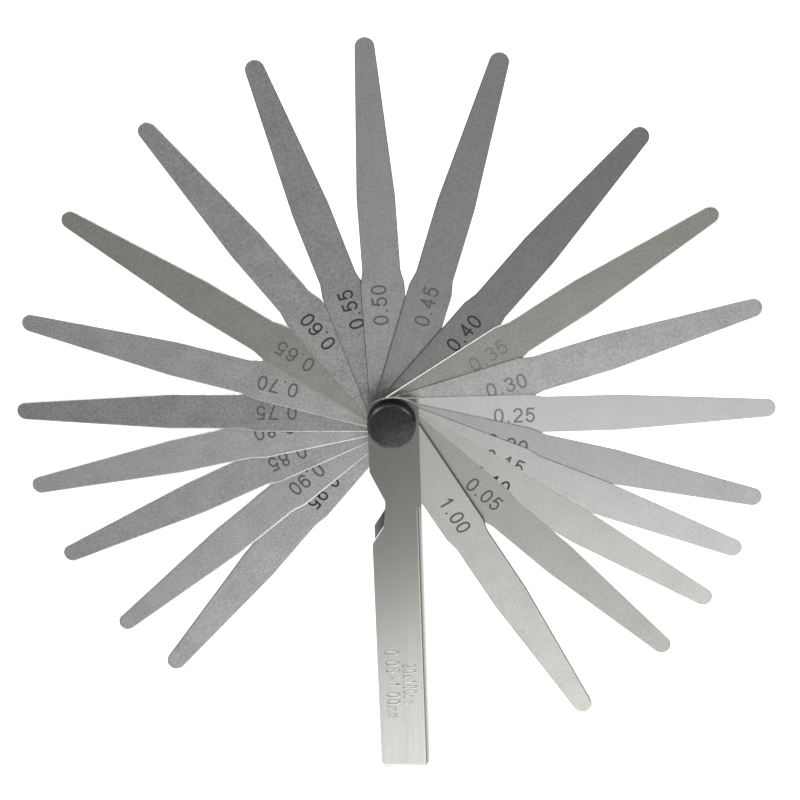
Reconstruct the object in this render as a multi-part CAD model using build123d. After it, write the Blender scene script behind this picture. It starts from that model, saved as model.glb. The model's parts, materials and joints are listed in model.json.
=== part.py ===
from build123d import *
import math
import os

# A folding feeler gauge: twenty tapered spring-steel leaves on one threaded post, held between the
# cheeks of a folded sheet-steel holder and clamped by a knurled thumb screw.
#
# Millimetres. The gauge lies on its back: +Z is the pivot axis and points out of the front cheek,
# the origin is on that axis at the underside of the post's flange, and the holder runs along -Y.
# The leaves are fanned open, turning clockwise out of the holder's open (-X) side.

# ---------------------------------------------------------------- leaves
PIVOT_TO_TIP = 95.0
ROOT_WIDTH = 10.8
LEAF_WIDTH = 9.3
SHOULDER_START = 34.5     # distance from the pivot at which the wide root ends
SHOULDER_LENGTH = 3.5
TAPER_START = 56.5
TAPER_SLOPE = 0.0637      # loss of half-width per millimetre of length
LEAF_GAP = 0.02           # oil gap on each side of each leaf

# Thickness of each leaf, back to front, and how far it is turned clockwise out of the holder.
FAN = [
    (0.95, 40.5), (0.90, 51.0), (0.85, 66.0), (0.80, 78.75), (0.75, 91.5),
    (0.70, 106.25), (0.65, 124.25), (0.60, 142.75), (0.55, 161.5), (0.50, 178.0),
    (0.45, 197.75), (0.40, 221.25), (0.35, 237.25), (0.30, 253.25), (0.25, 269.5),
    (0.20, 284.25), (0.15, 293.25), (0.10, 302.75), (0.05, 313.25), (1.00, 329.5),
]

# ---------------------------------------------------------------- pivot post
POST_DIAMETER = 6.0
POST_BORE = 4.1           # clears the screw's thread, which is modelled at its major diameter
POST_FLOOR = 1.7          # solid metal left under the blind bore
FLANGE_DIAMETER = 9.0
FLANGE_THICKNESS = 0.8
LEAF_ON_POST = 0.05       # radial clearance of each leaf on the post
POST_IN_BACK = 0.02       # radial clearance of the staked joint
POST_IN_FRONT = 0.10      # radial clearance in the front cheek
POST_BELOW_FACE = 0.30    # the post stops short of the front face, so that the screw can clamp

# ---------------------------------------------------------------- holder
SHEET = 1.0
BEND_INSIDE = 0.3
SPINE_TO_LEAF = 0.3       # side clearance of a folded leaf's root
OPEN_EDGE_OVERHANG = 0.6  # cheek beyond the leaf's root on the open side
TIP_TO_END = 1.5          # clearance of a folded leaf's tip inside the bent-in end
HEAD_REACH = 6.5          # height of the rounded head above the pivot
HEAD_SHOULDER = 4.2       # height above the pivot at which the head's arc begins
SPINE_START = 22.8        # the spine begins this far below the pivot and stops the last leaf
END_CORNER = 0.7
END_LIP = 2.6             # depth of each cheek's bent-in end tongue, outside
TONGUE_INSET = 0.75       # how much narrower the end tongue is, on each side
NOTCH_TOP = 13.2
NOTCH_DEEPEST = 21.2
NOTCH_FLOOR_END = 28.2
NOTCH_BOTTOM = 32.8
NOTCH_DEPTH = 3.7
NOTCH_FLOOR_RISE = 0.7    # how much shallower the notch is at the lower end of its floor
NOTCH_LEAD_RADIUS = 3.0
NOTCH_FLOOR_RADIUS = 2.5
NOTCH_EXIT_RADIUS = 1.0

# ---------------------------------------------------------------- thumb screw and washer
THREAD_DIAMETER = 4.0
THREAD_REACH = 8.0        # length of the shank below the washer
KNOB_DIAMETER = 12.0
KNOB_HEIGHT = 2.95
KNOB_CHAMFER = 0.55
KNURL_TEETH = 60
KNURL_DEPTH = 0.3
WASHER_DIAMETER = 9.6
WASHER_THICKNESS = 0.4
WASHER_ON_SHANK = 0.05    # radial clearance

# ---------------------------------------------------------------- dependent sizes
stack_height = sum(thickness + LEAF_GAP for thickness, _ in FAN) + LEAF_GAP
back_face = FLANGE_THICKNESS
leaves_from = back_face + SHEET
leaves_to = leaves_from + stack_height
front_face = leaves_to + SHEET

spine_inside = ROOT_WIDTH / 2 + SPINE_TO_LEAF
spine_outside = spine_inside + SHEET
open_edge = -(ROOT_WIDTH / 2 + OPEN_EDGE_OVERHANG)
end_inside = -(PIVOT_TO_TIP + TIP_TO_END)
end_outside = end_inside - SHEET
bend_outside = BEND_INSIDE + SHEET
cheek_end = end_outside + bend_outside

washer_top = front_face + WASHER_THICKNESS
knob_top = washer_top + KNOB_HEIGHT


os.makedirs("parts", exist_ok=True)


def box_between(low, high):
    """Return the box whose opposite corners are low and high."""
    size = [h - l for l, h in zip(low, high)]
    return Pos(*low) * Box(*size, align=(Align.MIN, Align.MIN, Align.MIN))


def cylinder_between(diameter, low, high):
    """Return a cylinder on the pivot axis from height low to height high."""
    return Pos(0, 0, low) * Cylinder(diameter / 2, high - low, align=(Align.CENTER, Align.CENTER, Align.MIN))


def save(solid, name):
    """Name a solid and write it as its own STEP file."""
    solid.label = name
    export_step(solid, f"parts/{name}.step")


# ---------------------------------------------------------------- leaves
def leaf(thickness):
    """Return one leaf lying along +X, its pivot hole on the origin and its back face at z = 0."""
    root = ROOT_WIDTH / 2
    half = LEAF_WIDTH / 2
    taper = math.atan(TAPER_SLOPE)
    # The tip circle touches both tapered edges and reaches PIVOT_TO_TIP.
    tip = (half - TAPER_SLOPE * (PIVOT_TO_TIP - TAPER_START)) / (1 / math.cos(taper) - TAPER_SLOPE)
    tip_centre = PIVOT_TO_TIP - tip
    touch = (tip_centre + tip * math.sin(taper), tip * math.cos(taper))
    shoulder_end = SHOULDER_START + SHOULDER_LENGTH
    upper = [(0, root), (SHOULDER_START, root), (shoulder_end, half), (TAPER_START, half), touch]
    lower = [(x, -y) for x, y in reversed(upper)]
    edges = Polyline(*upper).edges() + Polyline(*lower).edges()
    edges += [
        ThreePointArc(touch, (PIVOT_TO_TIP, 0), lower[0]).edge(),
        ThreePointArc(lower[-1], (-root, 0), upper[0]).edge(),
    ]
    outline = make_face(edges)
    hole = Circle(POST_DIAMETER / 2 + LEAF_ON_POST)
    return extrude(outline - hole, thickness)


height = leaves_from + LEAF_GAP
for thickness, opened in FAN:
    name = f"blade_{thickness:.2f}".replace(".", "_")
    save(Pos(0, 0, height) * Rot(0, 0, 270 - opened) * leaf(thickness), name)
    height += thickness + LEAF_GAP


# ---------------------------------------------------------------- holder
def cheek_outline():
    """Return the flat outline of both cheeks, without the end tongue."""
    notch_floor = open_edge + NOTCH_DEPTH
    side = FilletPolyline(
        (open_edge, HEAD_SHOULDER),
        (open_edge, -NOTCH_TOP),
        (notch_floor, -NOTCH_DEEPEST),
        (notch_floor - NOTCH_FLOOR_RISE, -NOTCH_FLOOR_END),
        (open_edge, -NOTCH_BOTTOM),
        (open_edge, cheek_end),
        (spine_outside, cheek_end),
        (spine_outside, HEAD_SHOULDER),
        radius=[
            NOTCH_LEAD_RADIUS, NOTCH_FLOOR_RADIUS, NOTCH_FLOOR_RADIUS,
            NOTCH_EXIT_RADIUS, END_CORNER, END_CORNER,
        ],
    )
    crown = ThreePointArc(
        (spine_outside, HEAD_SHOULDER),
        ((spine_outside + open_edge) / 2, HEAD_REACH),
        (open_edge, HEAD_SHOULDER),
    )
    return make_face(side.edges() + crown.edges())


def holder():
    """Return the folded holder: two cheeks, the spine on the +X side and the bent-in far end."""
    channel = box_between((open_edge, end_outside, back_face), (spine_outside, -SPINE_START, front_face))
    folds = channel.edges().filter_by(Axis.Y).group_by(Axis.X)[-1]
    ends = channel.edges().filter_by(Axis.X).group_by(Axis.Y)[0]
    channel = fillet(folds + ends, bend_outside)

    cavity = box_between(
        (open_edge - SHEET, end_inside, leaves_from),
        (spine_inside, -SPINE_START + SHEET, leaves_to),
    )
    inner_folds = cavity.edges().filter_by(Axis.Y).group_by(Axis.X)[-1]
    inner_ends = cavity.edges().filter_by(Axis.X).group_by(Axis.Y)[0]
    cavity = fillet(inner_folds + inner_ends, BEND_INSIDE)
    mouth = box_between(
        (open_edge - SHEET, end_outside - SHEET, back_face + END_LIP),
        (spine_inside, end_inside + SHEET, front_face - END_LIP),
    )
    channel = channel - cavity - mouth

    head = Part()
    for low in (back_face, leaves_to):
        head += box_between((open_edge, -SPINE_START, low), (spine_outside, HEAD_REACH, low + SHEET))

    tongue = box_between(
        (open_edge + TONGUE_INSET, end_outside, back_face),
        (spine_outside - TONGUE_INSET, cheek_end + SHEET, front_face),
    )
    blank = Pos(0, 0, back_face) * extrude(cheek_outline(), front_face - back_face) + tongue
    back_hole = cylinder_between(POST_DIAMETER + 2 * POST_IN_BACK, back_face, leaves_from)
    front_hole = cylinder_between(POST_DIAMETER + 2 * POST_IN_FRONT, leaves_to, front_face)
    return ((channel + head) & blank) - back_hole - front_hole


save(holder(), "holder")


# ---------------------------------------------------------------- pivot post
def pivot_post():
    """Return the flanged post with its blind bore, open towards the front."""
    flange = cylinder_between(FLANGE_DIAMETER, 0, FLANGE_THICKNESS)
    barrel = cylinder_between(POST_DIAMETER, 0, front_face - POST_BELOW_FACE)
    bore = cylinder_between(POST_BORE, POST_FLOOR, front_face)
    return flange + barrel - bore


save(pivot_post(), "pivot_post")


# ---------------------------------------------------------------- washer and thumb screw
washer = cylinder_between(WASHER_DIAMETER, front_face, washer_top)
washer -= cylinder_between(THREAD_DIAMETER + 2 * WASHER_ON_SHANK, front_face, washer_top)
save(washer, "washer")


def thumb_screw():
    """Return the knurled thumb screw with a plain shank in place of its thread."""
    crest = KNOB_DIAMETER / 2
    points = []
    for step in range(2 * KNURL_TEETH):
        radius = crest if step % 2 == 0 else crest - KNURL_DEPTH
        turn = math.pi * step / KNURL_TEETH
        points.append((radius * math.cos(turn), radius * math.sin(turn)))
    knurled = Pos(0, 0, washer_top) * extrude(Polygon(*points, align=None), KNOB_HEIGHT)
    envelope = cylinder_between(KNOB_DIAMETER, washer_top, knob_top)
    envelope = chamfer(envelope.edges().filter_by(GeomType.CIRCLE), KNOB_CHAMFER)
    shank = cylinder_between(THREAD_DIAMETER, washer_top - THREAD_REACH, washer_top + KNOB_CHAMFER)
    return (knurled & envelope) + shank


save(thumb_screw(), "thumb_screw")
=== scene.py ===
"""Looks of a folding feeler gauge: twenty marked steel leaves, a plated holder and a black thumb screw."""

import json
import logging
import math
from collections.abc import Callable
from dataclasses import dataclass
from enum import Enum

import bmesh
import bpy
import numpy as np
from mathutils import Matrix, Vector


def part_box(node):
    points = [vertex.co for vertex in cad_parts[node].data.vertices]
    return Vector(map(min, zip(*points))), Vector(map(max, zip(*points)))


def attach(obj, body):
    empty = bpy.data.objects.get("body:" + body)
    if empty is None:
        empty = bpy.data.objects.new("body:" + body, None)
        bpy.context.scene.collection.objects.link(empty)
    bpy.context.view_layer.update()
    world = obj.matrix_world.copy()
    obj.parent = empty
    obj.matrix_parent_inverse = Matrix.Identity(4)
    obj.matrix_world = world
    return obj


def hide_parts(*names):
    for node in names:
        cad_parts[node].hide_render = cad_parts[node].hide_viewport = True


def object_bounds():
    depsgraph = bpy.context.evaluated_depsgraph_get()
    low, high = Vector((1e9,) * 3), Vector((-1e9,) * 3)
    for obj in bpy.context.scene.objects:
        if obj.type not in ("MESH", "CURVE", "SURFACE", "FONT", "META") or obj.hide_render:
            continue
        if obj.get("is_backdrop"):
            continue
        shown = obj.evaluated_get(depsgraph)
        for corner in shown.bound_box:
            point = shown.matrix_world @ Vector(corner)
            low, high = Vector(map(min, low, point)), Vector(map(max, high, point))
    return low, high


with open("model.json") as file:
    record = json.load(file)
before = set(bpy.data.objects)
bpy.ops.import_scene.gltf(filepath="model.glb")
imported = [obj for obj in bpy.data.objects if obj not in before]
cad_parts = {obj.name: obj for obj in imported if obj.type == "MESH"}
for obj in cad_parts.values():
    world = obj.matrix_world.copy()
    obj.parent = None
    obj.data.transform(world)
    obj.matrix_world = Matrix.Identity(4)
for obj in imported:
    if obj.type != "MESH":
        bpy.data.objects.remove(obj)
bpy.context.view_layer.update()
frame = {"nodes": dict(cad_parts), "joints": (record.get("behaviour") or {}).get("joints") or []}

MM = 0.001
ARC_STEP_DEG = 9
OVAL_POINTS = 40
ROUND_END_DEG = (84.0, 60.0, 35.0, 15.0)  # steps of the half circle that ends a stroke
LOG = logging.getLogger("feeler_gauge")
Grid = np.ndarray
Pair = tuple[float, float]
Socket = bpy.types.NodeSocket
Colour = tuple[float, float, float]


def new_object(name: str, data: bpy.types.ID) -> bpy.types.Object:
    """Return a new object in the scene, at the origin."""
    item = bpy.data.objects.new(name, data)
    bpy.context.scene.collection.objects.link(item)
    return item


# ---------------------------------------------------------------- meshes worked out as arrays
class Shell:
    """Collects closed grid surfaces, in millimetres, and turns them into one mesh object.

    A grid is an array of shape (rows, columns, 3). Its columns always close on themselves; its rows
    either close too, as on a ring, or end in a face at each end, as on a bar.
    """

    def __init__(self, name: str) -> None:
        """Start with no points and no faces."""
        self.name = name
        self.points: list[Grid] = []
        self.faces: list[np.ndarray] = []
        self.ends: list[list[int]] = []
        self.rims: list[np.ndarray] = []
        self.count = 0

    def add(self, grid: Grid, closed: bool, rim: np.ndarray | None = None) -> None:
        """Add one surface.

        Args:
            grid: Points of shape (rows, columns, 3), in millimetres.
            closed: True where the last row joins the first.
            rim: How far each row takes its finish's edge colour, from 0 to 1.
        """
        rows, columns = grid.shape[:2]
        index = np.arange(rows * columns).reshape(rows, columns) + self.count
        here = index if closed else index[:-1]
        there = np.roll(index, -1, 0) if closed else index[1:]
        quads = np.stack([here, np.roll(here, -1, 1), np.roll(there, -1, 1), there], -1)
        self.faces.append(quads.reshape(-1, 4))
        if not closed:
            self.ends += [index[0].tolist(), index[-1].tolist()]
        self.points.append(grid.reshape(-1, 3))
        edge_share = np.zeros(rows) if rim is None else np.asarray(rim, float)
        self.rims.append(np.repeat(edge_share, columns))
        self.count += rows * columns

    def build(self, crease_deg: float = 35.0) -> bpy.types.Object:
        """Make the mesh object, in metres, with outward faces and creases at sharp corners.

        Args:
            crease_deg: Angle between two faces past which their shared edge looks sharp.

        Returns:
            The new object, at the origin.
        """
        mesh = bpy.data.meshes.new(self.name)
        points = np.concatenate(self.points) * MM
        faces = np.concatenate(self.faces).tolist() + self.ends
        mesh.from_pydata(points, [], faces)
        rim = mesh.attributes.new("rim", "FLOAT", "POINT")
        rim.data.foreach_set("value", np.concatenate(self.rims).astype(np.float32))
        turn_outwards(mesh)
        mesh.polygons.foreach_set("use_smooth", np.ones(len(mesh.polygons), bool))
        mesh.set_sharp_from_angle(angle=math.radians(crease_deg))
        return new_object(self.name, mesh)


def turn_outwards(mesh: bpy.types.Mesh) -> None:
    """Recalculate a closed mesh's normals so that its faces point outwards.

    Args:
        mesh: The mesh to mend in place.
    """
    work = bmesh.new()
    work.from_mesh(mesh)
    bmesh.ops.recalc_face_normals(work, faces=work.faces)
    work.to_mesh(mesh)
    work.free()


def heading_frame(degrees: float) -> tuple[np.ndarray, np.ndarray]:
    """Return the unit vectors along a heading, counter-clockwise from +X, and across it, to its left."""
    turn = math.radians(degrees)
    return np.array([math.cos(turn), math.sin(turn)]), np.array([-math.sin(turn), math.cos(turn)])


def place(flat: np.ndarray, degrees: float, height: float | np.ndarray) -> Grid:
    """Turn flat points about the pivot to a heading and give them a height.

    Args:
        flat: Points of shape (..., 2), their first coordinate along the heading.
        degrees: Heading, counter-clockwise from +X.
        height: One height, or an array that fits the points.

    Returns:
        Points of shape (..., 3).
    """
    along, across = heading_frame(degrees)
    plan = flat[..., :1] * along + flat[..., 1:] * across
    return np.concatenate([plan, np.broadcast_to(height, plan.shape[:-1])[..., None]], -1)


def lathe(radius: np.ndarray, height: np.ndarray) -> Grid:
    """Turn rows about the pivot axis.

    Each point is (r cos a, r sin a, z) for the angles a round the axis.

    Args:
        radius: Radius of each row at each angle, of shape (rows, columns).
        height: Height of each row.

    Returns:
        Points of shape (rows, columns, 3).
    """
    angle = np.linspace(0, 2 * np.pi, radius.shape[1], endpoint=False)
    rise = np.repeat(height[:, None], radius.shape[1], 1)
    return np.stack([radius * np.cos(angle), radius * np.sin(angle), rise], -1)


# ---------------------------------------------------------------- numerals as swept strokes
@dataclass(frozen=True)
class Stroke:
    """One stroke of a numeral, in a cell one unit wide and one high."""

    path: np.ndarray
    closed: bool = False


def bar(start: Pair, end: Pair) -> Stroke:
    """Return a straight stroke between two points."""
    return Stroke(np.array([start, end], float))


def ellipse(centre: Pair, radii: Pair, angle: np.ndarray, power: float = 1.0) -> np.ndarray:
    """Return points round an ellipse or a fuller oval.

    The point at angle a is centre + (rx c, ry s), where c and s are the cosine and sine of a,
    each raised to the power and keeping its sign. A power of less than 1 makes it fuller.

    Args:
        centre: Its centre.
        radii: Its two radii.
        angle: The angles, in radians.
        power: The power.

    Returns:
        Points of shape (n, 2).
    """
    wave = np.stack([np.cos(angle), np.sin(angle)], -1)
    return np.array(centre) + np.array(radii) * np.sign(wave) * np.abs(wave) ** power


def arc(centre: Pair, radii: Pair, first: float, last: float) -> Stroke:
    """Return a stroke along an ellipse, from one angle to another in degrees."""
    count = max(8, int(abs(last - first) / ARC_STEP_DEG))
    return Stroke(ellipse(centre, radii, np.radians(np.linspace(first, last, count))))


def oval(centre: Pair, radii: Pair, power: float = 1.0) -> Stroke:
    """Return a closed stroke round an ellipse or a fuller oval."""
    angle = np.linspace(0, 2 * np.pi, OVAL_POINTS, endpoint=False)
    return Stroke(ellipse(centre, radii, angle, power), True)


SIX = [
    oval((0.5, 0.31), (0.49, 0.31)), arc((0.53, 0.56), (0.52, 0.44), 35, 180),
    bar((0.01, 0.56), (0.01, 0.31)),
]
NUMERALS: dict[str, list[Stroke]] = {
    "0": [oval((0.5, 0.5), (0.5, 0.5), 0.9)],
    "1": [bar((0.2, 0.76), (0.58, 1.0)), bar((0.58, 1.0), (0.58, 0.0))],
    "2": [
        arc((0.5, 0.72), (0.47, 0.28), 165, -35), bar((0.885, 0.56), (0.03, 0.0)),
        bar((0.03, 0.0), (1.0, 0.0)),
    ],
    "3": [arc((0.48, 0.76), (0.44, 0.24), 160, -90), arc((0.48, 0.26), (0.5, 0.26), 90, -160)],
    "4": [bar((0.74, 0.0), (0.74, 1.0)), bar((0.74, 1.0), (0.0, 0.3)), bar((0.0, 0.3), (1.0, 0.3))],
    "5": [
        bar((0.9, 1.0), (0.2, 1.0)), bar((0.2, 1.0), (0.08, 0.5)),
        arc((0.48, 0.33), (0.49, 0.33), 146, -155),
    ],
    "6": SIX,
    "7": [bar((0.0, 1.0), (1.0, 1.0)), bar((1.0, 1.0), (0.36, 0.0))],
    "8": [oval((0.5, 0.77), (0.41, 0.23)), oval((0.5, 0.27), (0.49, 0.27))],
    "9": [Stroke(1 - stroke.path, stroke.closed) for stroke in SIX],
    ".": [bar((0.5, 0.0), (0.5, 0.03))],
    "-": [bar((0.1, 0.45), (0.9, 0.45))],
    "m": [
        bar((0.0, 0.0), (0.0, 0.66)), bar((0.5, 0.0), (0.5, 0.5)), arc((0.25, 0.48), (0.25, 0.17), 0, 180),
        bar((1.0, 0.0), (1.0, 0.5)), arc((0.75, 0.48), (0.25, 0.17), 0, 180),
    ],
    "x": [bar((0.1, 0.0), (0.9, 0.6)), bar((0.1, 0.6), (0.9, 0.0))],
}


@dataclass(frozen=True)
class Lettering:
    """Size of a row of numerals, in millimetres. line is the width of a stroke."""

    width: float
    height: float
    pitch: float
    point_pitch: float
    line: float
    lap: float = 0.002

    def centres(self, text: str) -> np.ndarray:
        """Return the middle of each character along the row, the row centred on 0.

        A point takes point_pitch in all, half of it on each side, and any other pair takes pitch.

        Args:
            text: The characters.

        Returns:
            One distance for each character.
        """
        marks = np.array([c == "." for c in text])
        steps = np.where(marks[1:] | marks[:-1], self.point_pitch / 2, self.pitch)
        middles = np.concatenate([[0.0], np.cumsum(steps)])
        return middles - middles[-1] / 2

    def rows(self, stroke: Stroke, middle: float) -> tuple[np.ndarray, np.ndarray, np.ndarray]:
        """Return a stroke's centre line with round ends, its left normals and its half-widths.

        Past each end the line runs on by half its width times the sine of an angle, and its
        half-width falls with the cosine of that angle, which draws half a circle.

        Args:
            stroke: The stroke, in its cell.
            middle: The cell's middle along the row.

        Returns:
            Centre points, unit normals and half-widths, one row for each.
        """
        cell = np.array([self.width - self.line, self.height - self.line])
        path = (stroke.path - 0.5) * cell + [middle, 0.0]
        half = self.line / 2
        ahead = np.roll(path, -1, 0) - np.roll(path, 1, 0) if stroke.closed else np.gradient(path, axis=0)
        ahead /= np.linalg.norm(ahead, axis=1)[:, None]
        widths = np.full(len(path), half)
        if not stroke.closed:
            angle = np.radians(ROUND_END_DEG)
            before = path[0] - ahead[0] * (half * np.sin(angle))[:, None]
            after = path[-1] + ahead[-1] * (half * np.sin(angle[::-1]))[:, None]
            path = np.concatenate([before, path, after])
            ahead = np.pad(ahead, ((len(angle), len(angle)), (0, 0)), "edge")
            widths = np.concatenate([half * np.cos(angle), widths, half * np.cos(angle[::-1])])
        normals = np.stack([-ahead[:, 1], ahead[:, 0]], -1)
        return path, normals, widths

    def write(
        self, shell: Shell, text: str, place_at: Callable[[np.ndarray, float], Grid],
        low: float, high: float, crown: float = 1.0, rim: float = 0.0,
    ) -> None:
        """Add a row of numerals to a shell as thin bars.

        Each bar's section is a trapezium: full width at low, and crown times it at high. Where two
        strokes of a numeral cross, the later one lies on top by the lap.

        Args:
            shell: The shell that takes the bars.
            text: The characters.
            place_at: Function that carries flat points and a height to the object.
            low: Height of the bars' underside.
            high: Height of their top.
            crown: Width of the top as a share of the width of the underside.
            rim: How far the bars take their finish's edge colour, from 0 to 1.
        """
        for character, middle in zip(text, self.centres(text)):
            for order, stroke in enumerate(NUMERALS[character]):
                path, normals, widths = self.rows(stroke, middle)
                crest = high + order * self.lap
                side = normals * widths[:, None]
                top = side * crown
                corners = [
                    place_at(path + side, low), place_at(path - side, low),
                    place_at(path - top, crest), place_at(path + top, crest),
                ]
                shell.add(np.stack(corners, 1), stroke.closed, np.full(len(path), rim))


# ---------------------------------------------------------------- shader building
class Bench:
    """Builds the nodes of one material or node group."""

    def __init__(self, tree: bpy.types.NodeTree) -> None:
        """Keep the node tree to build in."""
        self.tree = tree

    def node(self, kind: str, settings: dict[str, object] | None = None, **inputs: object) -> bpy.types.Node:
        """Add a node.

        Args:
            kind: Blender's name of the node type.
            settings: Properties of the node itself.
            inputs: Socket values or sockets to link, by name with spaces as underscores, or by
                number after the letter i.

        Returns:
            The node.
        """
        made = self.tree.nodes.new(kind)
        for key, value in (settings or {}).items():
            setattr(made, key, value)
        self.fill(made, **inputs)
        return made

    def fill(self, node: bpy.types.Node, **inputs: object) -> None:
        """Set or link a node's inputs.

        Args:
            node: The node.
            inputs: Values or sockets, named as node() takes them.
        """
        for key, value in inputs.items():
            numbered = key[0] == "i" and key[1:].isdigit()
            socket = node.inputs[int(key[1:]) if numbered else key.replace("_", " ")]
            if isinstance(value, Socket):
                self.tree.links.new(value, socket)
            else:
                socket.default_value = value

    def maths(self, operation: str, first: object, second: object = 0.0, clamp: bool = False) -> Socket:
        """Return the result of a Math node, held within 0 and 1 where clamp is true."""
        settings = {"operation": operation, "use_clamp": clamp}
        return self.node("ShaderNodeMath", settings, i0=first, i1=second).outputs[0]

    def spread(self, value: object, given: Pair, wanted: Pair) -> Socket:
        """Return a value carried from the range given to the range wanted, and held within it."""
        ends = {"From_Min": given[0], "From_Max": given[1], "To_Min": wanted[0], "To_Max": wanted[1]}
        return self.node("ShaderNodeMapRange", None, Value=value, **ends).outputs[0]

    def blend(self, factor: object, first: object, second: object) -> Socket:
        """Return two colours blended, the factor being the second one's share."""
        return self.node("ShaderNodeMix", {"data_type": "RGBA"}, i0=factor, i6=first, i7=second).outputs[2]

    def bump(self, height: object, relief: float) -> Socket:
        """Return the normal that a height gives, the relief being its depth in millimetres."""
        depth = relief * MM
        return self.node("ShaderNodeBump", None, Strength=1.0, Distance=depth, Height=height).outputs[0]

    def effect(self, group: bpy.types.NodeTree, **inputs: object) -> bpy.types.bpy_prop_collection:
        """Add a shared node group, and return its outputs."""
        return self.node("ShaderNodeGroup", {"node_tree": group}, **inputs).outputs

    def noise(self, where: object, scale: object, detail: float, roughness: float = 0.5) -> Socket:
        """Return the value of a Noise Texture node."""
        values = {"Vector": where, "Scale": scale, "Detail": detail, "Roughness": roughness}
        return self.node("ShaderNodeTexNoise", None, **values).outputs[0]

    def millimetres(self, heading: float = 0.0) -> Socket:
        """Return the object's own coordinates in millimetres, turned to a heading.

        Args:
            heading: Direction of the first axis in degrees, counter-clockwise from +X.

        Returns:
            The socket of the point.
        """
        where = self.node("ShaderNodeTexCoord").outputs["Object"]
        turned = self.node("ShaderNodeMapping", None, Vector=where)
        turned.inputs["Rotation"].default_value = (0.0, 0.0, math.radians(-heading))
        turned.inputs["Scale"].default_value = (1 / MM, 1 / MM, 1 / MM)
        return turned.outputs[0]


def rgba(colour: Colour) -> tuple[float, float, float, float]:
    """Return a colour with full alpha."""
    return (*colour, 1.0)


def new_material(name: str) -> tuple[bpy.types.Material, Bench, bpy.types.Node]:
    """Start a material.

    Args:
        name: The material's name.

    Returns:
        The material, its bench and its shader.
    """
    material = bpy.data.materials.new(name)
    material.use_nodes = True
    return material, Bench(material.node_tree), material.node_tree.nodes["Principled BSDF"]


def new_group(
    name: str, takes: dict[str, str], gives: list[str],
) -> tuple[bpy.types.NodeTree, Bench, dict, dict]:
    """Start a shader node group.

    Args:
        name: The group's name.
        takes: Input names and their kinds, Vector or Float.
        gives: Output names, all Float.

    Returns:
        The group, its bench, its input sockets by name and its output sockets by name.
    """
    tree = bpy.data.node_groups.new(name, "ShaderNodeTree")
    for label, kind in takes.items():
        tree.interface.new_socket(label, in_out="INPUT", socket_type="NodeSocket" + kind)
    for label in gives:
        tree.interface.new_socket(label, in_out="OUTPUT", socket_type="NodeSocketFloat")
    entry = tree.nodes.new("NodeGroupInput")
    leave = tree.nodes.new("NodeGroupOutput")
    return tree, Bench(tree), {k: entry.outputs[k] for k in takes}, {k: leave.inputs[k] for k in gives}


FINE_STRENGTH, PATCH_STRENGTH = 1.6, 0.55
LINE_STRETCH = (0.018, 1.0, 1.0)
NARROW_SHARE, WIDE_SHARE, WIDE_SCALE = 0.6, 0.4, 0.16
EDGE_NOISE_SCALE = 2.5
EDGE_NOISE_RANGE = (0.35, 0.62)
LEAST_EDGE_SHARE = 0.6


def frosted_grain() -> bpy.types.NodeTree:
    """Build the group for the mottle of ground and etched steel.

    Tone is 0.5 plus fine noise and slow patches; Height is the fine noise alone.

    Returns:
        The group.
    """
    takes = {"Vector": "Vector", "Fine": "Float", "Patch": "Float"}
    tree, bench, given, out = new_group("frosted_grain", takes, ["Tone", "Height"])
    fine = bench.noise(given["Vector"], given["Fine"], 2.0, 0.6)
    patch = bench.noise(given["Vector"], given["Patch"], 2.0)
    fine_part = bench.maths("MULTIPLY", bench.maths("SUBTRACT", fine, 0.5), FINE_STRENGTH)
    patch_part = bench.maths("MULTIPLY", bench.maths("SUBTRACT", patch, 0.5), PATCH_STRENGTH)
    tone = bench.maths("ADD", bench.maths("ADD", fine_part, patch_part), 0.5, True)
    tree.links.new(tone, out["Tone"])
    tree.links.new(fine, out["Height"])
    return tree


def drawn_lines() -> bpy.types.NodeTree:
    """Build the group for fine parallel lines left by brushing along the first axis.

    Streak is noise stretched fifty times or more along that axis, in two widths.

    Returns:
        The group.
    """
    takes = {"Vector": "Vector", "Width": "Float"}
    tree, bench, given, out = new_group("drawn_lines", takes, ["Streak"])
    stretch = {"operation": "MULTIPLY"}
    along = bench.node("ShaderNodeVectorMath", stretch, i0=given["Vector"], i1=LINE_STRETCH).outputs[0]
    narrow = bench.noise(along, given["Width"], 3.0)
    wide = bench.noise(along, bench.maths("MULTIPLY", given["Width"], WIDE_SCALE), 1.0)
    narrow_part = bench.maths("MULTIPLY", narrow, NARROW_SHARE)
    wide_part = bench.maths("MULTIPLY", wide, WIDE_SHARE)
    tree.links.new(bench.maths("ADD", narrow_part, wide_part), out["Streak"])
    return tree


def rubbed_and_painted_edges() -> bpy.types.NodeTree:
    """Build the group for the change of tone along edges, which is partly rubbed metal and partly painted
    shade and painted highlight.

    Mask is the rim attribute times the amount, broken up by noise and held within 0 and 1.

    Returns:
        The group.
    """
    takes = {"Vector": "Vector", "Rim": "Float", "Amount": "Float"}
    tree, bench, given, out = new_group("rubbed_and_painted_edges", takes, ["Mask"])
    edge_noise = bench.noise(given["Vector"], EDGE_NOISE_SCALE, 3.0)
    broken = bench.spread(edge_noise, EDGE_NOISE_RANGE, (LEAST_EDGE_SHARE, 1.0))
    edge_share = bench.maths("MULTIPLY", bench.maths("MULTIPLY", given["Rim"], broken), given["Amount"], True)
    tree.links.new(edge_share, out["Mask"])
    return tree


class Effects:
    """The shared node groups, each built once."""

    def __init__(self) -> None:
        """Build the groups."""
        self.grain = frosted_grain()
        self.lines = drawn_lines()
        self.rub_and_painted_light = rubbed_and_painted_edges()


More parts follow.
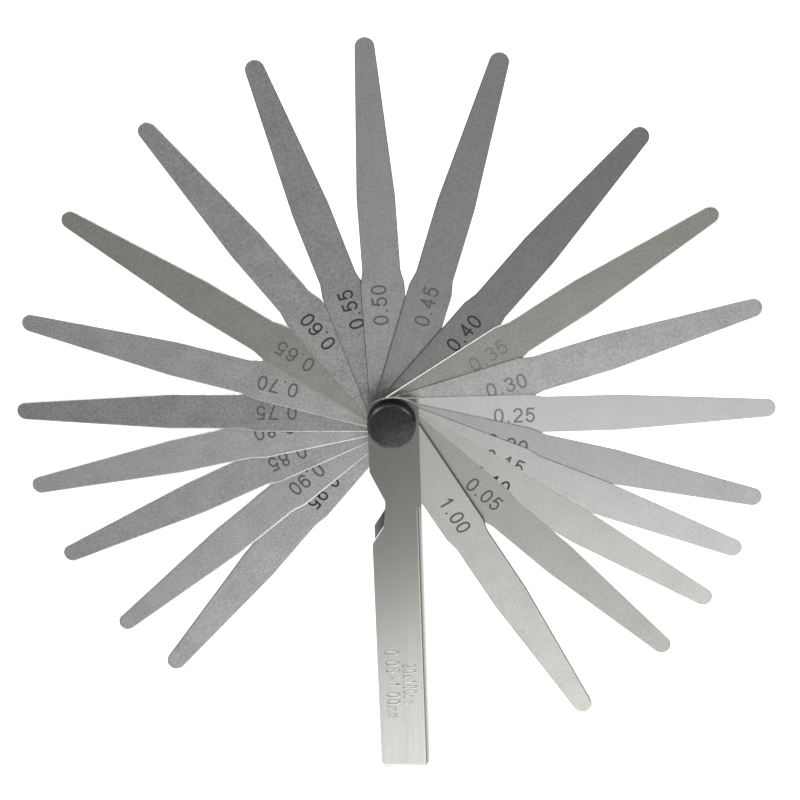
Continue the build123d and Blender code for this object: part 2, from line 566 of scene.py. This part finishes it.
@dataclass(frozen=True)
class SteelFinish:
    """A bare, plated or blackened steel surface.

    base and pale are the two colours that the mottle runs between. Roughness runs from rough to smooth with
    it. heading is the direction of the drawn lines in degrees, and line_share their share of the mottle.
    fine, patch and line_width are scales per millimetre, and relief is the bump's height in millimetres.
    edge is the colour that the rim takes, to the given amount: on the holder partly rubbed bare metal and
    partly painted highlight, on the knob's side and on sheared leaf edges painted shade, and on rolled and
    buffed leaf edges partly bright steel and partly painted highlight.
    """

    name: str
    base: Colour
    pale: Colour
    smooth: float
    rough: float
    heading: float = 0.0
    fine: float = 1.9
    patch: float = 0.16
    line_width: float = 3.0
    line_share: float = 0.25
    relief: float = 0.0022
    rub_and_painted_light: float = 0.0
    edge: Colour = (0.86, 0.86, 0.85)
    metallic: float = 1.0

    def build(self, effects: Effects) -> bpy.types.Material:
        """Make the material.

        Args:
            effects: The shared node groups.

        Returns:
            The material.
        """
        material, bench, shader = new_material(self.name)
        point = bench.millimetres(self.heading)
        grain = bench.effect(effects.grain, Vector=point, Fine=self.fine, Patch=self.patch)
        streak = bench.effect(effects.lines, Vector=point, Width=self.line_width)["Streak"]
        rim = bench.node("ShaderNodeAttribute", {"attribute_name": "rim"}).outputs["Fac"]
        mask = bench.effect(effects.rub_and_painted_light, Vector=point, Rim=rim, Amount=self.rub_and_painted_light)["Mask"]
        grain_part = bench.maths("MULTIPLY", grain["Tone"], 1.0 - self.line_share)
        line_part = bench.maths("MULTIPLY", streak, self.line_share)
        tone = bench.maths("ADD", grain_part, line_part, True)
        colour = bench.blend(tone, rgba(self.base), rgba(self.pale))
        colour = bench.blend(mask, colour, rgba(self.edge))
        roughness = bench.spread(tone, (0.2, 0.8), (self.rough, self.smooth))
        normal = bench.bump(bench.maths("ADD", grain["Height"], streak), self.relief)
        bench.fill(shader, Base_Color=colour, Roughness=roughness, Normal=normal, Metallic=self.metallic)
        return material


@dataclass(frozen=True)
class InkFinish:
    """The dark etched numerals of the leaves: matt, with a paler speckle.

    The speckle's colour is the shade times speckle, plus lift.
    """

    name: str
    shade: float
    speckle: Colour = (1.8, 1.8, 1.75)
    lift: float = 0.01
    fine: float = 5.0
    patch: float = 0.6
    roughness: float = 0.62
    relief: float = 0.003

    def build(self, effects: Effects) -> bpy.types.Material:
        """Make the material.

        Args:
            effects: The shared node groups.

        Returns:
            The material.
        """
        material, bench, shader = new_material(self.name)
        grain = bench.effect(effects.grain, Vector=bench.millimetres(), Fine=self.fine, Patch=self.patch)
        pale = tuple(self.shade * share + self.lift for share in self.speckle)
        colour = bench.blend(grain["Tone"], rgba((self.shade,) * 3), rgba(pale))
        normal = bench.bump(grain["Height"], self.relief)
        bench.fill(shader, Base_Color=colour, Roughness=self.roughness, Normal=normal, Metallic=0.0)
        return material


# ---------------------------------------------------------------- finishing a piece
def dress(item: bpy.types.Object, material: bpy.types.Material) -> None:
    """Give an object one material and nothing else."""
    item.data.materials.clear()
    item.data.materials.append(material)


def settle(item: bpy.types.Object, body: str, material: bpy.types.Material) -> None:
    """Dress a new piece, and make it ride on a body.

    Args:
        item: The piece.
        body: The body that it moves with.
        material: Its material.
    """
    dress(item, material)
    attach(item, body)
    LOG.info("piece %s rides on %s: %d faces", item.name, body, len(item.data.polygons))


MERGE_DISTANCE = 1e-7  # metres
ROUNDING_STEPS = 3
FLAT_ANGLE = math.radians(0.5)
SHARP_ANGLE = math.radians(40)


def softened_copy(node: str, name: str, radius: float) -> bpy.types.Object:
    """Copy a CAD node, merge it and round its sharp edges slightly, as deburring does.

    Args:
        node: The CAD node.
        name: The new piece's name.
        radius: Width of the rounding, in millimetres.

    Returns:
        The piece.
    """
    mesh = frame["nodes"][node].data.copy()
    mesh.name = name
    work = bmesh.new()
    work.from_mesh(mesh)
    bmesh.ops.remove_doubles(work, verts=work.verts, dist=MERGE_DISTANCE)
    bmesh.ops.dissolve_limit(work, angle_limit=FLAT_ANGLE, verts=work.verts, edges=work.edges)
    sharp = [e for e in work.edges if len(e.link_faces) == 2 and e.calc_face_angle() > SHARP_ANGLE]
    bmesh.ops.bevel(
        work, geom=sharp, offset=radius * MM, segments=ROUNDING_STEPS, profile=0.5,
        affect="EDGES", clamp_overlap=True,
    )
    bmesh.ops.recalc_face_normals(work, faces=work.faces)
    work.to_mesh(mesh)
    work.free()
    shade_by_area(mesh)
    item = new_object(name, mesh)
    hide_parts(node)
    return item


def shade_by_area(mesh: bpy.types.Mesh) -> None:
    """Give each vertex the mean normal of its faces, each weighed by its area.

    A broad flat face then shades flat up to its edge, and the narrow faces of a bend or of a
    rounded edge take up the whole turn. The rim attribute is how far the normal leans along Y,
    which marks the cut ends.

    Args:
        mesh: The mesh to shade.
    """
    faces, corners = len(mesh.polygons), len(mesh.loops)
    normals, areas, sizes = np.empty(faces * 3), np.empty(faces), np.empty(faces, np.int32)
    mesh.polygons.foreach_get("normal", normals)
    mesh.polygons.foreach_get("area", areas)
    mesh.polygons.foreach_get("loop_total", sizes)
    vertices = np.empty(corners, np.int32)
    mesh.loops.foreach_get("vertex_index", vertices)
    weighed = np.repeat(normals.reshape(-1, 3) * areas[:, None], sizes, axis=0)
    total = np.zeros((len(mesh.vertices), 3))
    np.add.at(total, vertices, weighed)
    total /= np.maximum(np.linalg.norm(total, axis=1), 1e-20)[:, None]
    mesh.polygons.foreach_set("use_smooth", np.ones(faces, bool))
    mesh.normals_split_custom_set_from_vertices(total.tolist())
    rim = mesh.attributes.new("rim", "FLOAT", "POINT")
    rim.data.foreach_set("value", np.abs(total[:, 1]).astype(np.float32))


# ---------------------------------------------------------------- the leaves
class MarkDepth(Enum):
    """How pale a leaf's etched numeral is."""

    FAINT = 0.15
    PLAIN = 0.08
    BOLD = 0.018


class Edge(Enum):
    """A leaf's edge: its roll as a share of the usual one, its colour, and how fully it takes that. The
    sheared edge's near-black colour is painted shade, the dark line between leaves; the rolled and buffed
    edges' pale colour is partly bright steel and partly painted highlight.
    """

    SHEARED_PAINTED_SHADE = (0.75, (0.045, 0.045, 0.045), 1.3)
    ROLLED_PAINTED_HIGHLIGHT = (1.4, (0.85, 0.85, 0.84), 0.8)
    BUFFED_PAINTED_HIGHLIGHT = (1.9, (0.92, 0.92, 0.91), 0.95)


class Grain(Enum):
    """How strong the mottle of a leaf's ground face is."""

    SATIN = 0.6
    GROUND = 1.5
    COARSE = 2.1


class Tint(Enum):
    """The cast of a leaf's steel."""

    NEUTRAL = (1.0, 1.0, 0.99)
    OLIVE = (1.0, 1.0, 0.93)


@dataclass(frozen=True)
class LeafLook:
    """What differs from leaf to leaf.

    tone scales the steel's colour. shift is how far the numeral sits outwards and to the left of
    its usual place, in millimetres.
    """

    tone: float
    grain: Grain = Grain.GROUND
    mark: MarkDepth = MarkDepth.PLAIN
    edge: Edge = Edge.SHEARED_PAINTED_SHADE
    tint: Tint = Tint.NEUTRAL
    shift: Pair = (0.0, 0.0)


LEAF_LOOKS: dict[str, LeafLook] = {
    "0.05": LeafLook(0.83, Grain.SATIN, edge=Edge.ROLLED_PAINTED_HIGHLIGHT, tint=Tint.OLIVE, shift=(1.0, 0.5)),
    "0.10": LeafLook(1.06, Grain.SATIN, MarkDepth.BOLD, Edge.ROLLED_PAINTED_HIGHLIGHT, Tint.OLIVE, shift=(0.0, -1.0)),
    "0.15": LeafLook(1.12, Grain.SATIN, shift=(0.75, 0.0)),
    "0.20": LeafLook(0.97, Grain.SATIN),
    "0.25": LeafLook(1.3, Grain.SATIN, MarkDepth.FAINT, shift=(1.0, 0.0)),
    "0.30": LeafLook(1.05, mark=MarkDepth.FAINT, shift=(0.25, -0.5)),
    "0.35": LeafLook(0.8, mark=MarkDepth.FAINT, edge=Edge.BUFFED_PAINTED_HIGHLIGHT, tint=Tint.OLIVE, shift=(-0.5, 0.25)),
    "0.40": LeafLook(0.58, mark=MarkDepth.BOLD, shift=(-1.0, 0.5)),
    "0.45": LeafLook(0.72, shift=(0.75, -0.25)),
    "0.50": LeafLook(0.89, shift=(-0.25, 1.0)),
    "0.55": LeafLook(0.8, Grain.COARSE, MarkDepth.BOLD, shift=(0.0, -0.25)),
    "0.60": LeafLook(0.88, Grain.COARSE, MarkDepth.BOLD, Edge.ROLLED_PAINTED_HIGHLIGHT, shift=(-1.0, 0.5)),
    "0.65": LeafLook(0.76, edge=Edge.ROLLED_PAINTED_HIGHLIGHT, tint=Tint.OLIVE, shift=(-1.0, 0.25)),
    "0.70": LeafLook(0.95, Grain.COARSE, edge=Edge.ROLLED_PAINTED_HIGHLIGHT, shift=(0.0, 0.5)),
    "0.75": LeafLook(0.75, Grain.COARSE, edge=Edge.ROLLED_PAINTED_HIGHLIGHT, shift=(-0.25, 0.25)),
    "0.80": LeafLook(0.99, edge=Edge.ROLLED_PAINTED_HIGHLIGHT, shift=(1.0, -1.5)),
    "0.85": LeafLook(0.88, edge=Edge.ROLLED_PAINTED_HIGHLIGHT, shift=(0.5, 0.25)),
    "0.90": LeafLook(0.94, edge=Edge.BUFFED_PAINTED_HIGHLIGHT, shift=(0.0, 0.25)),
    "0.95": LeafLook(0.95, mark=MarkDepth.BOLD, shift=(0.0, 0.5)),
    "1.00": LeafLook(1.04, Grain.SATIN, tint=Tint.OLIVE, shift=(0.25, 0.0)),
}


@dataclass
class Leaves:
    """The twenty leaves and their numerals. Sizes are in millimetres.

    Each leaf lies at the height and heading of its CAD node, with the same outline.
    """

    effects: Effects
    root_width: float = 10.8
    width: float = 9.3
    shoulder_start: float = 34.5
    shoulder_length: float = 3.5
    taper_start: float = 56.5
    taper_slope: float = 0.0637
    hole_radius: float = 3.05
    edge_roll: float = 0.24
    full_roll_thickness: float = 0.4
    roll_rows: tuple[float, ...] = (0.0, 0.4, 0.72, 1.0)
    roll_power: float = 2.4
    # Share of the edge colour on the side wall, where the painted edge shade and painted edge highlight fade
    # into plain steel.
    wall_rim: float = 0.25
    ease: float = 0.06
    ease_share: float = 0.3
    support_gap: float = 0.03
    halfway: float = 0.4
    body_middle: float = 47.0
    taper_stations: Pair = (70.0, 83.0)
    nose_points: int = 25
    heel_points: int = 33
    smooth: float = 0.33
    rough: float = 0.45
    text_middle: float = 29.5
    text_proud: float = 0.007
    text_sunk: float = 0.01
    lettering: Lettering = Lettering(width=2.45, height=3.9, pitch=3.05, point_pitch=4.75, line=0.52)
    steel: float = 0.6
    mottle: float = 0.17

    def outline(self, reach: float) -> np.ndarray:
        """Return the leaf's outline, counter-clockwise, lying along +X with its hole on the origin.

        The root is half a circle. The sides run along it, step in at the shoulder, run straight,
        and close in at a steady slope. The tip is an arc that touches both slopes at its ends.

        Args:
            reach: Distance from the pivot to the tip.

        Returns:
            Points of shape (n, 2), the last not repeated.
        """
        root, half, slope = self.root_width / 2, self.width / 2, math.atan(self.taper_slope)
        drop = half - self.taper_slope * (reach - self.taper_start)
        tip = drop / (1 / math.cos(slope) - self.taper_slope)
        turn = np.linspace(-math.pi / 2 + slope, math.pi / 2 - slope, self.nose_points)
        nose = np.stack([reach - tip + tip * np.cos(turn), tip * np.sin(turn)], -1)
        shoulder_end = self.shoulder_start + self.shoulder_length
        knots = np.array([0.0, self.shoulder_start, shoulder_end, self.taper_start])
        offsets = np.array([root, root, half, half])
        root_stations = np.linspace(2, self.shoulder_start, 6)
        body_stations = [shoulder_end, self.body_middle, self.taper_start, *self.taper_stations]
        stations = np.append(root_stations, body_stations)
        ends = np.append(knots, nose[-1, 0])
        widths = np.interp(stations, ends, np.append(offsets, nose[-1, 1]))
        upper = np.stack([stations, widths], -1)[::-1]
        back = np.linspace(math.pi / 2, 3 * math.pi / 2, self.heel_points)
        heel = root * np.stack([np.cos(back), np.sin(back)], -1)
        lower = upper[::-1] * [1, -1]
        return np.concatenate([nose, upper, heel, lower])

    def plate(
        self, name: str, reach: float, heading: float, low: float, high: float, roll: float,
    ) -> bpy.types.Object:
        """Return one leaf as a closed ring surface.

        The grid's columns follow the outline, and its rows go once round the section: up the
        hole's wall, out across the top, down the edge and back across the underside. A row on a
        face is the hole's row plus a share of the way to the outline. At the edge the face rolls
        off, as tumbling leaves it: the drop is half the roll's width times a power of the share
        of the way out.

        Args:
            name: The piece's name.
            reach: Distance from the pivot to the tip.
            heading: Direction in degrees.
            low: Height of the underside.
            high: Height of the top.
            roll: Width of the rolled edge.

        Returns:
            The piece.
        """
        outer = self.outline(reach)
        ahead = np.roll(outer, -1, 0) - np.roll(outer, 1, 0)
        normal = np.stack([ahead[:, 1], -ahead[:, 0]], -1)
        normal /= np.linalg.norm(normal, axis=1)[:, None]
        away = outer / np.linalg.norm(outer, axis=1)[:, None]
        hole = away * self.hole_radius
        ease = min(self.ease, self.ease_share * (high - low))
        hole_eased = away * (self.hole_radius + ease)
        support = outer - normal * (roll + self.support_gap)
        halfway = hole_eased + (support - hole_eased) * self.halfway
        out = np.array(self.roll_rows)
        drop = roll * 0.5 * out**self.roll_power
        rolled = [outer - normal * roll * (1 - share) for share in out]
        climb = [
            (hole, low + ease, 0.0), (hole, high - ease, 0.0), (hole_eased, high, 0.0),
            (halfway, high, 0.0), (support, high, 0.0),
        ]
        # The roll's rows take the edge colour by their share of the way out: painted shade on sheared
        # leaves, painted highlight on rolled and buffed ones.
        climb += [(flat, high - fall, share) for flat, fall, share in zip(rolled, drop, out)]
        climb += [
            (outer, low + ease, self.wall_rim), (outer - normal * ease, low, self.wall_rim),
            (support, low, 0.0), (halfway, low, 0.0), (hole_eased, low, 0.0),
        ]
        shell = Shell(name)
        rings = [place(flat, heading, height) for flat, height, _ in climb]
        shell.add(np.stack(rings), True, np.array([edge_share for _, _, edge_share in climb]))
        return shell.build()

    def numeral(self, name: str, text: str, heading: float, top: float, shift: Pair) -> bpy.types.Object:
        """Return a leaf's numeral, read outwards from the pivot.

        Args:
            name: The piece's name.
            text: The characters.
            heading: The leaf's direction in degrees.
            top: Height of the leaf's top.
            shift: How far the numeral sits outwards and to the left of its usual place.

        Returns:
            The piece.
        """
        shell = Shell(name)
        middle = np.array([self.text_middle + shift[0], shift[1]])

        def on_leaf(flat: np.ndarray, height: float) -> Grid:
            """Carry flat points to the leaf."""
            return place(flat + middle, heading, height)

        self.lettering.write(shell, text, on_leaf, top - self.text_sunk, top + self.text_proud)
        return shell.build()

    def make(self) -> None:
        """Build and dress every leaf and its numeral."""
        inks = {
            depth: InkFinish(f"etched_{depth.name.lower()}", depth.value).build(self.effects)
            for depth in MarkDepth
        }
        swings = {joint["child"]: joint for joint in frame["joints"]}
        for text, look in LEAF_LOOKS.items():
            size = text.replace(".", "_")
            node = "blade_" + size
            corner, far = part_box(node)
            low, high = corner.z / MM, far.z / MM
            vertices = frame["nodes"][node].data.vertices
            points = np.empty(len(vertices) * 3, np.float32)
            vertices.foreach_get("co", points)
            reach = float(np.hypot(*points.reshape(-1, 3)[:, :2].T).max()) / MM
            heading = 270.0 - swings[node]["range_deg"][1]
            tint = np.array(look.tint.value) * look.tone
            # The edge colour paints the dark shade line on sheared edges and brightens the highlight on
            # rolled and buffed edges.
            roll_share, edge_colour, rub_and_painted_light = look.edge.value
            roll = self.edge_roll * roll_share * min(1.0, (high - low) / self.full_roll_thickness)
            swing = self.mottle * look.grain.value
            finish = SteelFinish(
                name="steel_" + node, base=tuple(tint * (self.steel - swing)),
                pale=tuple(tint * (self.steel + swing)), smooth=self.smooth, rough=self.rough,
                heading=heading, rub_and_painted_light=rub_and_painted_light, edge=edge_colour,
            )
            leaf = self.plate("leaf_" + size, reach, heading, low, high, roll)
            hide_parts(node)
            settle(leaf, node, finish.build(self.effects))
            mark = self.numeral("mark_" + size, text, heading, high, look.shift)
            settle(mark, node, inks[look.mark])


# ---------------------------------------------------------------- the holder, post and washer
@dataclass
class Holder:
    """The folded holder with its numerals in relief, the post and the washer.

    Sizes are in millimetres. A text's middle is in X and Y.
    """

    effects: Effects
    deburr: float = 0.3
    range_text: str = "0.05-1.00mm"
    range_middle: Pair = (-2.1, -72.8)
    range_size: Lettering = Lettering(width=1.6, height=3.7, pitch=2.08, point_pitch=3.0, line=0.42)
    count_text: str = "20x100mm"
    count_middle: Pair = (2.25, -72.8)
    count_size: Lettering = Lettering(width=1.2, height=3.7, pitch=1.52, point_pitch=2.0, line=0.4)
    mark_sunk: float = 0.02
    mark_height: float = 0.07
    mark_crown: float = 0.35
    # Share of the plate's pale edge colour on the crests of the struck numerals: partly rubbed metal, partly
    # painted highlight.
    mark_rim: float = 0.5
    post_deburr: float = 0.15
    washer_deburr: float = 0.06

    def struck(self, name: str, text: str, size: Lettering, middle: Pair, face: float) -> bpy.types.Object:
        """Return a row of numerals in relief, read along the holder away from the pivot.

        Args:
            name: The piece's name.
            text: The characters.
            size: Their lettering.
            middle: The row's middle, in X and Y.
            face: Height of the front cheek's face.

        Returns:
            The piece.
        """
        shell = Shell(name)

        def on_cheek(flat: np.ndarray, height: float) -> Grid:
            """Carry flat points to the cheek."""
            return place(flat, 270.0, height) + [middle[0], middle[1], 0.0]

        size.write(
            shell, text, on_cheek, face - self.mark_sunk, face + self.mark_height,
            crown=self.mark_crown, rim=self.mark_rim,
        )
        return shell.build(crease_deg=80)

    def make(self) -> None:
        """Build and dress the holder, its marks, the post and the washer."""
        # The cut ends and the struck crests take the pale edge colour, partly bare steel and partly painted
        # highlight.
        plate = SteelFinish(
            "plated_sheet", (0.4, 0.404, 0.376), (0.47, 0.475, 0.45), 0.16, 0.23, heading=270.0,
            fine=1.2, patch=0.07, line_width=2.2, line_share=0.75, relief=0.0012, rub_and_painted_light=0.9,
        ).build(self.effects)
        sheet = softened_copy("holder", "holder_sheet", self.deburr)
        settle(sheet, "holder", plate)
        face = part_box("holder")[1].z / MM
        rows = {
            "struck_range": (self.range_text, self.range_size, self.range_middle),
            "struck_count": (self.count_text, self.count_size, self.count_middle),
        }
        for name, (text, size, middle) in rows.items():
            settle(self.struck(name, text, size, middle, face), "holder", plate)
        turned = SteelFinish(
            "turned_post", (0.5, 0.5, 0.5), (0.66, 0.66, 0.65), 0.26, 0.36, fine=2.5, line_share=0.4,
        )
        post = softened_copy("pivot_post", "post_barrel", self.post_deburr)
        settle(post, "holder", turned.build(self.effects))
        stamped = SteelFinish(
            "stamped_washer", (0.42, 0.42, 0.41), (0.58, 0.58, 0.57), 0.3, 0.42, fine=2.8,
        )
        ring = softened_copy("washer", "washer_ring", self.washer_deburr)
        settle(ring, "washer", stamped.build(self.effects))


# ---------------------------------------------------------------- the thumb screw
@dataclass
class ThumbScrew:
    """The knurled thumb screw. Sizes are in millimetres."""

    effects: Effects
    teeth: int = 60
    columns_per_tooth: int = 8
    tooth_depth: float = 0.34
    chamfer: float = 0.65
    foot_chamfer: float = 0.3
    crown: float = 0.3
    ring_height: float = 0.005
    ring_pitch: float = 0.75
    thread_radius: float = 1.98
    thread_depth: float = 0.38
    thread_pitch: float = 0.7
    side_rows: int = 7
    chamfer_rows: int = 6
    face_rows: int = 60
    underside_middle: float = 2.0
    tooth_power: float = 1.3
    shank_columns: int = 48
    rows_per_pitch: int = 10
    foot_height: float = 0.5
    foot_step: float = 0.45
    shank_lap: float = 0.2
    axis_hole: float = 0.05

    def knob(self, radius: float, low: float, high: float) -> bpy.types.Object:
        """Return the knurled head.

        The profile goes from the axis out along the underside, up the side and in along the face, with a
        chamfer at each corner. The face is crowned: it falls from the axis as the square of the radius, and
        turning has left fine rings on it, a cosine of the radius. The radius at an angle is no more than the
        outer radius less the tooth depth times a wave that has one crest for each tooth, so that the
        chamfers cut the teeth as a lathe does. All below the upper chamfer takes the finish's near-black
        edge colour, which is painted shade on the knurled side.

        Args:
            radius: Outer radius.
            low: Height of the underside.
            high: Height of the face.

        Returns:
            The piece.
        """
        inside = radius - self.chamfer
        top = high - self.crown
        side = np.linspace(low + self.foot_chamfer, top - self.chamfer, self.side_rows)
        ramp = np.linspace(0, 1, self.chamfer_rows)
        underside = (self.axis_hole, self.underside_middle, radius - self.foot_chamfer)
        profile = [(r, low) for r in underside]
        profile += [(radius, z) for z in side]
        profile += [(radius - self.chamfer * t, top - self.chamfer * (1 - t)) for t in ramp[1:-1]]
        inward = np.linspace(inside, self.axis_hole, self.face_rows)
        ripple = self.ring_height * (np.cos(2 * np.pi * inward / self.ring_pitch) - 1)
        face = top + self.crown * (1 - (inward / inside) ** 2) + ripple
        profile += list(zip(inward, face))
        angle = np.linspace(0, 2 * np.pi, self.teeth * self.columns_per_tooth, endpoint=False)
        valley = np.abs(np.sin(angle * self.teeth / 2)) ** self.tooth_power
        limit = radius - self.tooth_depth * (1 - valley)
        rows = np.array(profile)
        # Rows below the upper chamfer take the edge colour: painted shade that darkens the knurled side.
        rim = np.where(rows[:, 1] < top - self.chamfer + 0.01, 1.0, 0.0)
        shell = Shell("knob")
        shell.add(lathe(np.minimum(rows[:, :1], limit), rows[:, 1]), False, rim)
        return shell.build(crease_deg=28)

    def shank(self, low: float, high: float) -> bpy.types.Object:
        """Return the threaded shank.

        Its radius is the thread's, less the thread's depth times a triangle wave of the height
        over the pitch less the angle over a full turn, which is a helix. At the foot the depth
        fades to nothing and the radius closes to a chamfer.

        Args:
            low: Height of the foot.
            high: Height at which the shank meets the head.

        Returns:
            The piece.
        """
        height = np.linspace(low, high, int((high - low) / self.thread_pitch * self.rows_per_pitch))
        angle = np.linspace(0, 2 * np.pi, self.shank_columns, endpoint=False)
        phase = (height[:, None] / self.thread_pitch - angle[None, :] / (2 * np.pi)) % 1.0
        groove = 1 - np.abs(2 * phase - 1)
        foot = np.clip((height - low) / self.foot_height, 0, 1)[:, None]
        radius = self.thread_radius - self.thread_depth * groove * foot - self.foot_step * (1 - foot)
        shell = Shell("threaded_shank")
        shell.add(lathe(radius, height), False)
        return shell.build(crease_deg=50)

    def make(self) -> None:
        """Build and dress the head and the shank."""
        low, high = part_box("thumb_screw")
        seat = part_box("washer")[1].z
        # The near-black edge colour at full strength is painted shade on the knurled side below the face's
        # chamfer.
        blackened = SteelFinish(
            "blackened_steel", (0.014, 0.014, 0.015), (0.125, 0.125, 0.125), 0.28, 0.4,
            fine=2.4, patch=0.35, line_share=0.1, relief=0.004,
            rub_and_painted_light=3.0, edge=(0.006, 0.006, 0.006), metallic=0.9,
        ).build(self.effects)
        head = self.knob(high.x / MM, seat / MM, high.z / MM)
        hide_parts("thumb_screw")
        settle(head, "thumb_screw", blackened)
        shank = self.shank(low.z / MM, seat / MM + self.shank_lap)
        settle(shank, "thumb_screw", blackened)


# ---------------------------------------------------------------- camera, light and floor
@dataclass(frozen=True)
class SoftBox:
    """A rectangular lamp that faces the gauge. Lengths are in millimetres.

    radiance is the brightness of its face, and turn_deg its turn about its own axis.
    """

    name: str
    centre: tuple[float, float, float]
    size: Pair
    radiance: float
    turn_deg: float = 0.0

    def hang(self) -> None:
        """Add the lamp to the scene."""
        centre = Vector(self.centre)
        data = bpy.data.lights.new(self.name, "AREA")
        data.shape = "RECTANGLE"
        data.size, data.size_y = self.size[0] * MM, self.size[1] * MM
        data.energy = self.radiance * math.pi * data.size * data.size_y
        aim = (-centre).to_track_quat("-Z", "Y").to_matrix().to_4x4()
        turn = Matrix.Rotation(math.radians(self.turn_deg), 4, "Z")
        new_object(self.name, data).matrix_world = Matrix.Translation(centre * MM) @ aim @ turn


SOFT_BOXES = (
    SoftBox("key", (175.0, -920.0, 1000.0), (700.0, 820.0), 1.6, 10.0),
    SoftBox("front", (150.0, -1300.0, 560.0), (900.0, 330.0), 3.0),
    SoftBox("back", (0.0, 760.0, 860.0), (620.0, 460.0), 6.0),
    SoftBox("right", (1000.0, -620.0, 330.0), (1000.0, 640.0), 0.85),
    SoftBox("side_left", (-920.0, 770.0, 340.0), (620.0, 300.0), 6.0),
    SoftBox("side_right", (920.0, 720.0, 350.0), (560.0, 300.0), 4.5),
)


@dataclass(frozen=True)
class Studio:
    """Camera, lights and floor. Lengths are in millimetres."""

    target: tuple[float, float, float] = (2.0, 3.45, 6.8)
    eye: tuple[float, float, float] = (22.05, 179.3, 488.05)
    lean_deg: float = 1.95
    lens: float = 92.13
    sensor: float = 36.0
    floor_size: float = 6000.0
    floor_gap: float = 0.02
    floor_tone: float = 0.9
    floor_glow: float = 0.8
    surround: float = 0.27

    def camera(self) -> None:
        """Place the camera: above the gauge's head, with the holder pointing down the picture."""
        eye, target = Vector(self.eye), Vector(self.target)
        ahead = (target - eye).normalized()
        lean = math.radians(self.lean_deg)
        hint = Vector((math.sin(lean), math.cos(lean), 0.0))
        right = ahead.cross(hint).normalized()
        up = right.cross(ahead)
        turn = Matrix((right, up, -ahead)).transposed().to_4x4()
        data = bpy.data.cameras.new("camera")
        data.lens = self.lens
        data.sensor_width = self.sensor
        data.clip_start = 0.01
        item = new_object("camera", data)
        item.matrix_world = Matrix.Translation(eye * MM) @ turn
        bpy.context.scene.camera = item

    def lights(self) -> None:
        """Place the soft boxes and the even light from all round."""
        for box in SOFT_BOXES:
            box.hang()
        world = bpy.data.worlds.new("studio")
        world.use_nodes = True
        back = world.node_tree.nodes["Background"]
        back.inputs["Color"].default_value = rgba((self.surround,) * 3)
        back.inputs["Strength"].default_value = 1.0
        bpy.context.scene.world = world

    def floor(self) -> None:
        """Lay the pale floor just under the gauge."""
        half = self.floor_size / 2
        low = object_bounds()[0][2] / MM - self.floor_gap
        sides = [(-half, -half), (half, -half), (half, half), (-half, half)]
        corners = np.array([(x, y, low) for x, y in sides]) * MM
        mesh = bpy.data.meshes.new("floor")
        mesh.from_pydata(corners, [], [(0, 1, 2, 3)])
        material, bench, shader = new_material("pale_floor")
        bench.fill(
            shader, Base_Color=rgba((self.floor_tone,) * 3), Roughness=0.9,
            Emission_Color=rgba((1.0,) * 3), Emission_Strength=self.floor_glow,
        )
        item = new_object("floor", mesh)
        dress(item, material)
        item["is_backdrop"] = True

    def make(self) -> None:
        """Set the stage."""
        self.camera()
        self.lights()
        self.floor()
        bpy.context.scene.view_settings.view_transform = "Standard"


def main() -> None:
    """Build the studio and every piece."""
    logging.basicConfig(level=logging.INFO, format="%(message)s")
    Studio().make()
    effects = Effects()
    for assembly in (Leaves(effects), Holder(effects), ThumbScrew(effects)):
        LOG.info("building %s", type(assembly).__name__)
        assembly.make()


if __name__ == "__main__":
    main()
